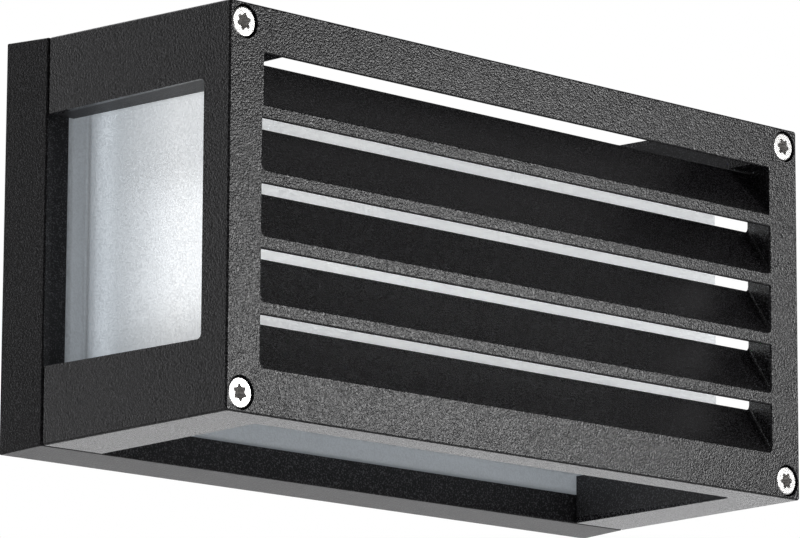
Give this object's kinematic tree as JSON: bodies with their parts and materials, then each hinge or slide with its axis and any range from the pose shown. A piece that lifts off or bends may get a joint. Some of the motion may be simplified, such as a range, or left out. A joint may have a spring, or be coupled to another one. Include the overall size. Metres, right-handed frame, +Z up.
{
  "type": "louvred wall light",
  "caption": "Brick-shaped outdoor wall light: a cast louvred cage on a shallow base, round a satin glass box with a screw lamp inside.",
  "frame": {"origin": "centre of the rear face of the base, on the wall plane (on the middle rib)", "axes": "+X along the light to the viewer's right, +Y into the wall, +Z up"},
  "size_m": [0.2656, 0.1023, 0.1324],
  "materials": {
    "cast_paint": "fine textured dark grey powder coat on cast aluminium",
    "satin_glass": "satin etched pressed glass",
    "gasket_rubber": "black silicone and rubber",
    "stainless": "bright stainless",
    "white_enamel": "white stove enamel",
    "zinc_steel": "bright zinc plate",
    "porcelain": "white glazed porcelain",
    "nickel_brass": "nickel plated brass",
    "lamp_aluminium": "pressed aluminium",
    "black_glass": "black insulator",
    "tin_contact": "tinned",
    "lamp_plastic": "white moulded housing",
    "frosted_plastic": "frosted white tube",
    "clear_nylon": "natural nylon",
    "bare_brass": "bare brass",
    "brown_pvc": "brown insulation",
    "blue_pvc": "blue insulation",
    "earth_pvc": "green and yellow insulation"
  },
  "bodies": {
    "base": {"base_housing": "cast_paint", "diffuser_gasket": "gasket_rubber", "reflector_tray": "white_enamel", "tray_screws": "zinc_steel", "lampholder_bracket": "zinc_steel", "bracket_screws": "zinc_steel", "lampholder_body": "porcelain", "lampholder_shell": "nickel_brass", "lampholder_contact": "nickel_brass", "lampholder_screws": "zinc_steel", "terminal_block": "clear_nylon", "terminal_clamps": "bare_brass", "terminal_screws": "zinc_steel", "terminal_fixing_screw": "zinc_steel", "earth_screw": "bare_brass", "earth_washer": "bare_brass", "earth_ring": "tin_contact", "live_lead": "brown_pvc", "neutral_lead": "blue_pvc", "earth_lead": "earth_pvc", "cable_grommet": "gasket_rubber"},
    "cage": {"louvre_cage": "cast_paint", "cage_screws": "stainless"},
    "glass": {"glass_diffuser": "satin_glass"},
    "lamp_travel": {"lamp_contact": "tin_contact", "lamp_insulator": "black_glass"},
    "lamp": {"lamp_cap": "lamp_aluminium", "lamp_collar": "lamp_plastic", "lamp_tube": "frosted_plastic"}
  },
  "joints": [
    {"name": "cage_off", "type": "slide", "parent": "base", "child": "cage", "axis": [0, -1, 0], "range_m": [0, 0.13]},
    {"name": "glass_off", "type": "slide", "parent": "base", "child": "glass", "axis": [0, -1, 0], "range_m": [0, 0.0605]},
    {"name": "lamp_advance", "type": "slide", "parent": "base", "child": "lamp_travel", "axis": [1, 0, 0], "range_m": [0, 0.01088]},
    {"name": "lamp_turn", "type": "hinge", "parent": "lamp_travel", "child": "lamp", "pos_m": [0, -0.0484, 0], "axis": [1, 0, 0], "range_deg": [0, 1080]}
  ],
  "couplings": [
    {"joint": "glass_off", "follows": "cage_off", "ratio": 0.465},
    {"joint": "lamp_turn", "follows": "lamp_advance", "rad_per_m": 1731.4}
  ]
}
